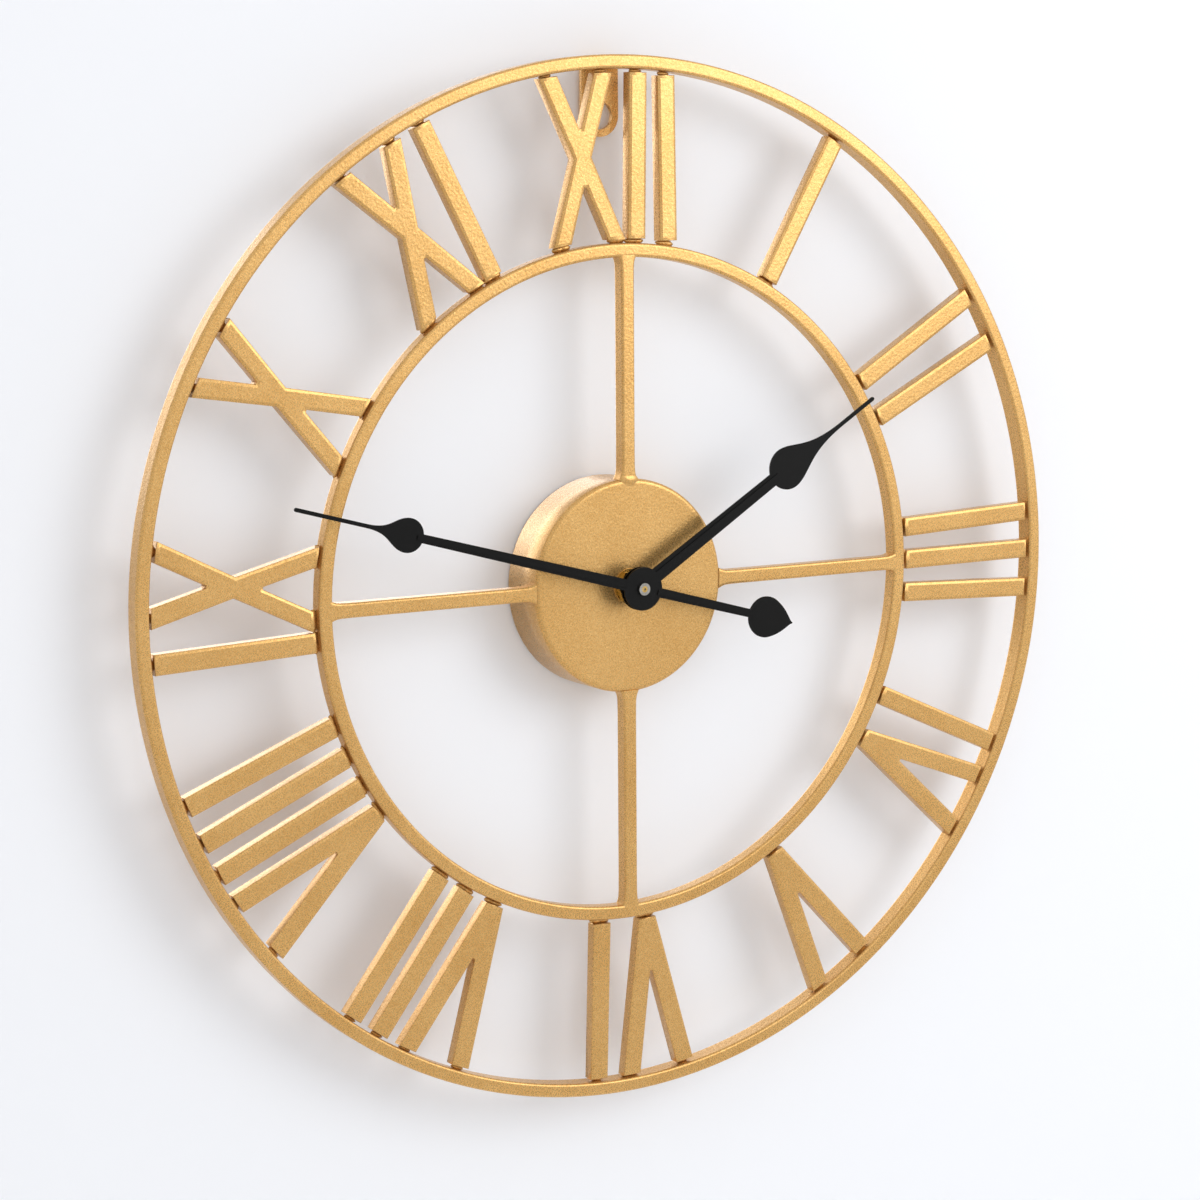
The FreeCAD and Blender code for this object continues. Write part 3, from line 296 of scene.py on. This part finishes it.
def turned(name, outline, steps):
    """Turn a closed outline of (radius, y) about the dial's axis.
    Point (s, t) = (r(t) cos s, y(t), dial_z + r(t) sin s), for s round the full circle."""
    s = np.linspace(0, 2 * np.pi, steps, endpoint=False)[:, None]
    r, y = np.asarray(outline)[:, 0][None, :], np.asarray(outline)[:, 1][None, :]
    points = np.stack([r * np.cos(s), y + 0 * s, dial_z + r * np.sin(s)], 2)
    return mesh_object(name, points.reshape(-1, 3), grid_faces(steps, len(outline), True, True))


for name, bar in (("outer_ring", outer_ring), ("inner_ring", inner_ring)):
    outline = rounded_outline(
        bar["outside"] - bar["face"], front_y, bar["outside"], front_y + bar["deep"], ring_round
    )
    finish_piece(turned(name + "_coated", outline, ring_steps), name)


# ---------------------------------------------------------------------------
# The drum: a cup drawn from 1 mm steel sheet, its face rounded at the rim by
# the press tool. It hides the movement, and its open back rests on the wall.
# ---------------------------------------------------------------------------
low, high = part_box("movement_drum")
drum_radius = high.x
sheet = 1.0 * mm
bush_hole = 4.1 * mm
rim_round = 2.0 * mm
rim_break = 0.2 * mm
bend = np.linspace(0, np.pi / 2, 7)
bend_at = np.array([drum_radius - rim_round, front_y + rim_round])
bend_way = np.stack([np.cos(bend), -np.sin(bend)], 1)
drum_outline = np.concatenate([
    [(bush_hole, front_y + sheet)],
    [(bush_hole + sheet, front_y + sheet), (drum_radius - rim_round - sheet, front_y + sheet)],
    (bend_at + (rim_round - sheet) * bend_way)[::-1],
    [(drum_radius - sheet, -rim_break), (drum_radius - sheet / 2, 0.0), (drum_radius, -rim_break)],
    bend_at + rim_round * bend_way,
    [(drum_radius - rim_round - 0.6 * mm, front_y), (bush_hole + 0.8 * mm, front_y)],
    [(bush_hole + rim_break, front_y), (bush_hole, front_y + rim_break)],
])
finish_piece(turned("drum_coated", drum_outline, 288), "movement_drum")


# ---------------------------------------------------------------------------
# The four spokes: square-cut bars, MIG welded to the drum's wall and to the
# inner ring. The weld runs out along the bar in a small fillet at each end.
# ---------------------------------------------------------------------------
spoke_face = 6.9 * mm
spoke_deep = 7.3 * mm
spoke_round = 1.0 * mm
weld_grow = 1.7 * mm
weld_reach = 2.2 * mm
ripple_wide = 1.1 * mm
ripple_reach = 4 * mm
stations = 60


def spoke(name, clock_angle, start, end):
    """A rounded bar along the radius, from start to end. Its outline grows by
    weld_grow * exp(-d / weld_reach), where d is the distance to the nearer end, with a ripple of
    sin(d / ripple_wide) that dies out over ripple_reach. Stations crowd together at the ends."""
    t = np.linspace(0, 1, stations)
    along = start + (end - start) * (0.5 - 0.5 * np.cos(np.pi * t))
    nearer = np.minimum(along - start, end - along)
    grow = weld_grow * np.exp(-nearer / weld_reach)
    ripple = 1 + 0.25 * np.sin(nearer / ripple_wide) * np.exp(-nearer / ripple_reach)
    outline = rounded_outline(
        -spoke_face / 2, -spoke_deep / 2, spoke_face / 2, spoke_deep / 2, spoke_round, 4
    )
    outward = outline / np.abs(outline).max(0)
    behind_middle = outward[None, :, 1] > 0
    across = outline[None, :, 0] + outward[None, :, 0] * (grow * ripple)[:, None]
    deep = outline[None, :, 1] + outward[None, :, 1] * (0.25 * grow)[:, None] * behind_middle
    y = front_y + spoke_deep / 2 + deep
    angle = math.radians(clock_angle)
    x = along[:, None] * math.sin(angle) + across * math.cos(angle)
    z = dial_z + along[:, None] * math.cos(angle) - across * math.sin(angle)
    points = np.stack([x, y, z], 2).reshape(-1, 3)
    count = len(outline)
    faces = grid_faces(stations, count, False, True).tolist()
    faces += [list(range(count))[::-1], list(range((stations - 1) * count, stations * count))]
    return mesh_object(name, points, faces)


spoke_start = drum_radius - 0.6 * mm
spoke_end = inner_ring["outside"] - inner_ring["face"] + 1.0 * mm
for hour in (3, 6, 9, 12):
    finish_piece(spoke(f"spoke_{hour}_welded", 30 * hour, spoke_start, spoke_end), f"spoke_{hour}")


def weld_pool(name, z, wide, tall, high, seed):
    """A low dome on the drum's face: height = high * (1 - q^2)^0.7 over an oval, where q runs
    from 0 at its middle to 1 at its rim, with a slow wobble of the rim."""
    q = np.linspace(0, 1, 14)[:, None]
    a = np.linspace(0, 2 * np.pi, 40, endpoint=False)[None, :]
    phase = np.random.default_rng(seed).uniform(0, 2 * np.pi, 3)
    wobble = 0.08 * np.sin(2 * a + phase[0]) + 0.06 * np.sin(3 * a + phase[1])
    rim = 1 + wobble + 0.03 * np.sin(5 * a + phase[2])
    y = front_y + 0.3 * mm - high * (1 - q**2) ** 0.7 + 0 * a
    points = np.stack([wide / 2 * q * rim * np.cos(a), y, z + tall / 2 * q * rim * np.sin(a)], 2)
    return mesh_object(name, points.reshape(-1, 3), grid_faces(14, 40, False, True)[:, ::-1])


pool_z = dial_z + drum_radius - 0.5 * mm
finish_piece(weld_pool("spoke_12_weld_pool", pool_z, 9.0 * mm, 6.5 * mm, 1.0 * mm, 8))


# ---------------------------------------------------------------------------
# The numerals and the hanger: letters pressed from 0.9 mm sheet, with a folded
# skirt and a rounded front edge; the hanger is 20 by 2 mm strap, punched.
# ---------------------------------------------------------------------------
join_within = 0.002 * mm
roll_wide = 0.6 * mm
roll_deep = 0.25 * mm
bend_deep = 0.85 * mm
flat_margin = 0.15 * mm


def softened(name, source):
    """A copy of a pressed part with its loose triangles joined and its front edge rolled wider:
    the flat front is drawn in by roll_wide, and what lies outside it falls away from
    depth d to roll_deep + d * (1 - roll_deep / bend_deep). Corners over 50 degrees stay crisp."""
    mesh = source.data.copy()
    joined = bmesh.new()
    joined.from_mesh(mesh)
    bmesh.ops.remove_doubles(joined, verts=joined.verts, dist=join_within)
    front = min(v.co.y for v in joined.verts)
    flat = [
        f for f in joined.faces
        if f.normal.y < -0.99 and f.calc_center_median().y < front + 0.02 * mm
    ]
    flat = bmesh.ops.dissolve_faces(joined, faces=flat, use_verts=True)["region"]
    bmesh.ops.inset_region(joined, faces=flat, thickness=roll_wide, use_even_offset=True)
    inside = {v for f in flat for v in f.verts}
    for v in joined.verts:
        if v not in inside and v.co.y < front + bend_deep:
            v.co.y = front + roll_deep + (v.co.y - front) * (1 - roll_deep / bend_deep)
    bmesh.ops.inset_region(joined, faces=flat, thickness=flat_margin, use_even_offset=True)
    joined.to_mesh(mesh)
    joined.free()
    mesh.materials.clear()
    mesh.polygons.foreach_set("use_smooth", np.ones(len(mesh.polygons), bool))
    mesh.set_sharp_from_angle(angle=math.radians(50))
    made = bpy.data.objects.new(name, mesh)
    scene.collection.objects.link(made)
    flats = made.modifiers.new("flats_stay_flat", "WEIGHTED_NORMAL")
    flats.keep_sharp = True
    return made


for hour in range(1, 13):
    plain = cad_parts[f"numeral_{hour}"]
    finish_piece(softened(f"numeral_{hour}_pressed", plain), plain.name)


def dress(material, *names):
    """Put one material on parts that keep their own shape."""
    for part in names:
        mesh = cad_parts[part].data
        mesh.materials.clear()
        mesh.materials.append(material)


dress(gold_coat, "hanger_strap")


# ---------------------------------------------------------------------------
# The weld beads: quick tacks that join the ends of the numerals to the rings,
# left as they fell and coated over. Each one is a small uneven lump.
# ---------------------------------------------------------------------------
bead_wide = 7.0 * mm
bead_back = 0.7 * mm
between_tacks = np.radians(0.35)
round_steps, over_steps = 10, 7


def beads(name, source, seed):
    """One rounded lump for each tack of the plain part. Tacks are told apart by gaps in the polar
    angle. A lump is centre + half size * (cos a cos b, sin b, sin a cos b) * (1 + wobble), in
    (angle, y, radius), with the half sizes 0.9 of the tack's in y and 1.3 of it in radius."""
    co = np.empty(len(source.data.vertices) * 3)
    source.data.vertices.foreach_get("co", co)
    co = co.reshape(-1, 3)
    angle = np.arctan2(co[:, 0], co[:, 2] - dial_z)
    radius = np.hypot(co[:, 0], co[:, 2] - dial_z)
    order = np.argsort(angle)
    cuts = np.nonzero(np.diff(angle[order]) > between_tacks)[0] + 1
    groups = np.split(order, cuts)
    low = np.array([[angle[g].min(), co[g, 1].min(), radius[g].min()] for g in groups])
    high = np.array([[angle[g].max(), co[g, 1].max(), radius[g].max()] for g in groups])
    middle, half = ((low + high) / 2)[:, :, None, None], ((high - low) / 2)[:, :, None, None]
    lumps = len(groups)
    a = np.linspace(0, 2 * np.pi, round_steps, endpoint=False)[None, :, None]
    b = np.linspace(-np.pi / 2, np.pi / 2, over_steps)[None, None, :]
    wobble = 1 + np.random.default_rng(seed).uniform(-0.12, 0.12, (lumps, round_steps, over_steps))
    width = np.maximum(half[:, 0], bead_wide / 2 / middle[:, 2])
    theta = middle[:, 0] + width * np.cos(a) * np.cos(b) * wobble
    y = middle[:, 1] + bead_back + half[:, 1] * 0.9 * np.sin(b) + 0 * a
    r = middle[:, 2] + half[:, 2] * 1.3 * np.sin(a) * np.cos(b) * wobble
    points = np.stack([r * np.sin(theta), y + 0 * r, dial_z + r * np.cos(theta)], 3)
    one = grid_faces(round_steps, over_steps, True, False)
    faces = one[None] + round_steps * over_steps * np.arange(lumps)[:, None, None]
    return mesh_object(name, points.reshape(-1, 3), faces.reshape(-1, 4)[:, ::-1])


for name, seed in (("outer_tacks", 3), ("inner_tacks", 5)):
    finish_piece(beads(name + "_beads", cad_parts[name], seed), name)


# ---------------------------------------------------------------------------
# The quartz movement in the drum: black ABS trays with natural acetal wheels,
# a green circuit board, a wound coil, a ferrite magnet, and one AA cell.
# ---------------------------------------------------------------------------
def moulded(name, dark, light, rough, ior, grain, depth):
    """A plain moulded or rolled skin: a noise of the given grain size moves its gloss and level,
    and a slow one its tone."""
    made, tree, out = new_material(name)
    place = node(tree, "ShaderNodeTexCoord").outputs["Object"]
    skin = node(tree, "ShaderNodeTexNoise", {"Vector": place, "Scale": 1 / grain, "Detail": 3.0})
    flow = node(tree, "ShaderNodeTexNoise", {"Vector": place, "Scale": 60.0, "Detail": 2.0})
    tone = node(tree, "ShaderNodeMix", {
        0: flow.outputs[0], 6: linear(dark), 7: linear(light),
    }, data_type="RGBA")
    gloss = node(tree, "ShaderNodeMapRange", {
        "Value": skin.outputs[0], "To Min": rough - 0.07, "To Max": rough + 0.07,
    })
    level = node(tree, "ShaderNodeBump", {"Height": skin.outputs[0], "Strength": 0.4, "Distance": depth})
    body = node(tree, "ShaderNodeBsdfPrincipled", {
        "Base Color": tone.outputs[2], "Roughness": gloss.outputs[0], "IOR": ior,
        "Normal": level.outputs[0],
    })
    tree.links.new(body.outputs[0], out.inputs["Surface"])
    return made


# ABS with a spark-eroded grain of 0.6 mm; acetal is smooth and milky; rubber is dull and dusty.
spark_grained_abs = moulded("spark_grained_abs", "#171718", "#222223", 0.5, 1.53, 0.6 * mm, 0.06 * mm)
natural_acetal = moulded("natural_acetal", "#E6E3D8", "#F1EFE7", 0.35, 1.48, 1.2 * mm, 0.02 * mm)
nitrile_rubber = moulded("nitrile_rubber", "#121212", "#1E1D1C", 0.8, 1.52, 0.5 * mm, 0.05 * mm)
solder_mask = moulded("solder_mask_on_board", "#0F3B1D", "#17522A", 0.35, 1.55, 0.9 * mm, 0.02 * mm)
potting_resin = moulded("black_potting_resin", "#0B0B0B", "#161616", 0.25, 1.56, 1.5 * mm, 0.04 * mm)
copper_wire = moulded("enamelled_copper_wire", "#8A3C1B", "#B55A2B", 0.3, 1.6, 0.25 * mm, 0.08 * mm)
ferrite = moulded("sintered_ferrite", "#2A2A2C", "#3A3A3D", 0.6, 1.8, 0.3 * mm, 0.03 * mm)
dress(spark_grained_abs, "front_case", "rear_cover", "setting_knob")
dress(
    natural_acetal, "coil_bobbin", "middle_plate", "centre_wheel", "third_wheel",
    "intermediate_wheel", "rotor_pinion", "minute_works_wheel", "hour_wheel",
)
dress(nitrile_rubber, "rubber_washer")
dress(solder_mask, "circuit_board")
dress(potting_resin, "chip_cover")
dress(copper_wire, "coil_winding")
dress(ferrite, "rotor_magnet")

# The cell's shrink sleeve: gloss black with a copper-coloured band round its positive third,
# and the bare can's bright steel past both ends of it.
sleeve, tree, out = new_material("printed_shrink_sleeve")
low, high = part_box("battery_cell")
place = node(tree, "ShaderNodeTexCoord").outputs["Object"]
along = node(tree, "ShaderNodeSeparateXYZ", {0: place}).outputs[0]
share = node(tree, "ShaderNodeMapRange", {"Value": along, "From Min": low.x, "From Max": high.x})
bands = node(tree, "ShaderNodeValToRGB", {0: share.outputs[0]})
bands.color_ramp.interpolation = "CONSTANT"
stops = bands.color_ramp.elements
stops[0].position, stops[0].color = 0.0, linear("#B9B7B2")
stops[1].position, stops[1].color = 0.02, linear("#1C1C1E")
for position, colour in ((0.68, "#B8743A"), (0.955, "#B9B7B2")):
    stops.new(position).color = linear(colour)
crease = node(tree, "ShaderNodeTexNoise", {"Vector": place, "Scale": 140.0, "Detail": 3.0})
wrinkle = node(tree, "ShaderNodeBump", {
    "Height": crease.outputs[0], "Strength": 0.25, "Distance": 0.1 * mm,
})
film = node(tree, "ShaderNodeBsdfPrincipled", {
    "Base Color": bands.outputs[0], "Metallic": 0.35, "Roughness": 0.28, "Normal": wrinkle.outputs[0],
})
tree.links.new(film.outputs[0], out.inputs["Surface"])
dress(sleeve, "battery_cell")


def turned_metal(name, dark, light, rough):
    """A bright metal with fine tool marks. A wave scale of 330 sets them 0.95 mm apart, coarser
    than real ones, so that they show; each bends slowly as it crosses the piece."""
    made, tree, out = new_material(name)
    place = node(tree, "ShaderNodeTexCoord").outputs["Object"]
    laid = node(tree, "ShaderNodeMapping", {
        "Vector": place, "Location": (0, 0, -dial_z), "Rotation": (math.pi / 2, 0, 0),
    })
    marks = node(tree, "ShaderNodeTexWave", {
        "Vector": laid.outputs[0], "Scale": 330.0, "Distortion": 1.2, "Detail": 2.0,
    }, wave_type="RINGS", rings_direction="Z")
    stain = node(tree, "ShaderNodeTexNoise", {"Vector": place, "Scale": 350.0, "Detail": 4.0})
    tone = node(tree, "ShaderNodeMix", {
        0: stain.outputs[0], 6: linear(dark), 7: linear(light),
    }, data_type="RGBA")
    polish = node(tree, "ShaderNodeMapRange", {
        "Value": stain.outputs[0], "To Min": rough, "To Max": rough + 0.16,
    })
    cut = node(tree, "ShaderNodeBump", {
        "Height": marks.outputs[1], "Strength": 0.3, "Distance": 0.03 * mm,
    })
    metal = node(tree, "ShaderNodeBsdfPrincipled", {
        "Base Color": tone.outputs[2], "Metallic": 1.0, "Roughness": polish.outputs[0],
        "Normal": cut.outputs[0],
    })
    tree.links.new(metal.outputs[0], out.inputs["Surface"])
    return made


# Nickel plate on the contacts, the stator, the crystal's can and the seconds arbor.
nickel = turned_metal("nickel_plated_steel", "#7E7B76", "#B4B1AB", 0.22)
dress(nickel, "plus_contact", "minus_contact", "stator", "quartz_crystal", "second_wheel")


# ---------------------------------------------------------------------------
# The bush stack in front of the drum: a turned brass bush with its hexagon nut
# and washer. The minute pipe is drawn brass tube.
# ---------------------------------------------------------------------------
brass = turned_metal("turned_brass", "#A9843F", "#DDBB72", 0.2)
dress(brass, "centre_bush", "bush_nut", "bush_washer", "minute_pipe")


# ---------------------------------------------------------------------------
# The hands: blanked from 0.8 mm steel with a stiffening rib pressed along the
# shaft, dipped in black lacquer and stoved, and pushed on to their pipes. A
# bright plated nut holds the minute hand.
# ---------------------------------------------------------------------------
# Stoved black lacquer: dark and satin, with a soft dust of flatter specks 0.8 mm apart.
black_lacquer, tree, out = new_material("stoved_black_lacquer")
place = node(tree, "ShaderNodeTexCoord").outputs["Object"]
specks = node(tree, "ShaderNodeTexNoise", {"Vector": place, "Scale": 1 / (0.8 * mm), "Detail": 3.0})
tone = node(tree, "ShaderNodeMix", {
    0: specks.outputs[0], 6: linear("#020202"), 7: linear("#080808"),
}, data_type="RGBA")
satin = node(tree, "ShaderNodeMapRange", {"Value": specks.outputs[0], "To Min": 0.34, "To Max": 0.55})
level = node(tree, "ShaderNodeBump", {"Height": specks.outputs[0], "Strength": 0.25, "Distance": 0.05 * mm})
lacquer = node(tree, "ShaderNodeBsdfPrincipled", {
    "Base Color": tone.outputs[2], "Roughness": satin.outputs[0], "IOR": 1.25, "Normal": level.outputs[0],
})
tree.links.new(lacquer.outputs[0], out.inputs["Surface"])
dress(black_lacquer, "hour_hand", "minute_hand")
dress(nickel, "hand_nut")
